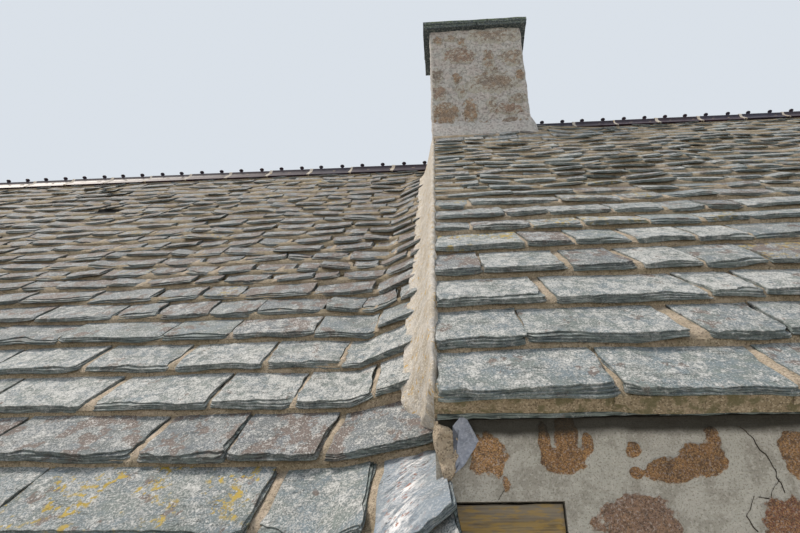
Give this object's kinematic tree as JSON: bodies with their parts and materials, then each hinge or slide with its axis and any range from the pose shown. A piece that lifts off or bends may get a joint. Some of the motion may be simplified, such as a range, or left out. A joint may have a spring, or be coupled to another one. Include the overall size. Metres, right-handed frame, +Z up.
{
  "type": "stone-roofed cottage",
  "caption": "Low rubble-walled cottage of two ranges in line under graduated stone-slate roofs, the taller with a gable stack.",
  "frame": {"origin": "on the ground, at the middle of the building's plan, below the ridges", "axes": "+X along the ridges from the wing towards the house, +Y from the front to the back, +Z up"},
  "size_m": [11.6, 6.4374, 6.6103],
  "materials": {
    "rubble_wall": "granite rubble in flush lime mortar",
    "roof_slate": "riven schist slates with lichen",
    "lime_mortar": "rough lime mortar",
    "ridge_tile": "dark glazed earthenware",
    "cap_slate": "mossy slate slabs",
    "flagstone": "worn flagstones",
    "roof_oak": "old oak",
    "weathered_oak": "weathered oak",
    "painted_wood": "weathered paint",
    "grey_flashing": "dull grey sheet metal",
    "window_glass": "plain glass"
  },
  "bodies": {
    "root": {"house_front_wall": "rubble_wall", "house_back_wall": "rubble_wall", "house_right_gable": "rubble_wall", "party_gable": "rubble_wall", "wing_front_wall": "rubble_wall", "wing_back_wall": "rubble_wall", "wing_left_gable": "rubble_wall", "house_floor": "flagstone", "wing_floor": "flagstone", "house_roof_timbers": "roof_oak", "wing_roof_timbers": "roof_oak", "house_roof_front": "roof_slate", "house_roof_back": "roof_slate", "wing_roof_front": "roof_slate", "wing_roof_back": "roof_slate", "wing_sweep_front": "roof_slate", "wing_sweep_back": "roof_slate", "house_eaves_slates_front": "roof_slate", "house_eaves_slates_back": "roof_slate", "wing_eaves_slates_front": "roof_slate", "wing_eaves_slates_back": "roof_slate", "verge_fillet_front": "lime_mortar", "verge_fillet_back": "lime_mortar", "house_ridge_tiles": "ridge_tile", "wing_ridge_tiles": "ridge_tile", "chimney_stack": "rubble_wall", "chimney_cap": "cap_slate", "chimney_skirt": "lime_mortar", "corner_timber": "weathered_oak", "corner_flashing": "grey_flashing", "corner_bedding": "lime_mortar", "house_door": "painted_wood", "house_door_frame": "painted_wood", "house_door_lintel": "weathered_oak", "wing_door": "painted_wood", "wing_door_frame": "painted_wood", "wing_door_lintel": "weathered_oak", "house_left_window_frame": "painted_wood", "house_left_window_glass": "window_glass", "house_left_window_lintel": "weathered_oak", "house_right_window_frame": "painted_wood", "house_right_window_glass": "window_glass", "house_right_window_lintel": "weathered_oak", "house_back_window_frame": "painted_wood", "house_back_window_glass": "window_glass", "house_back_window_lintel": "weathered_oak", "wing_window_frame": "painted_wood", "wing_window_glass": "window_glass", "wing_window_lintel": "weathered_oak"}
  },
  "joints": []
}
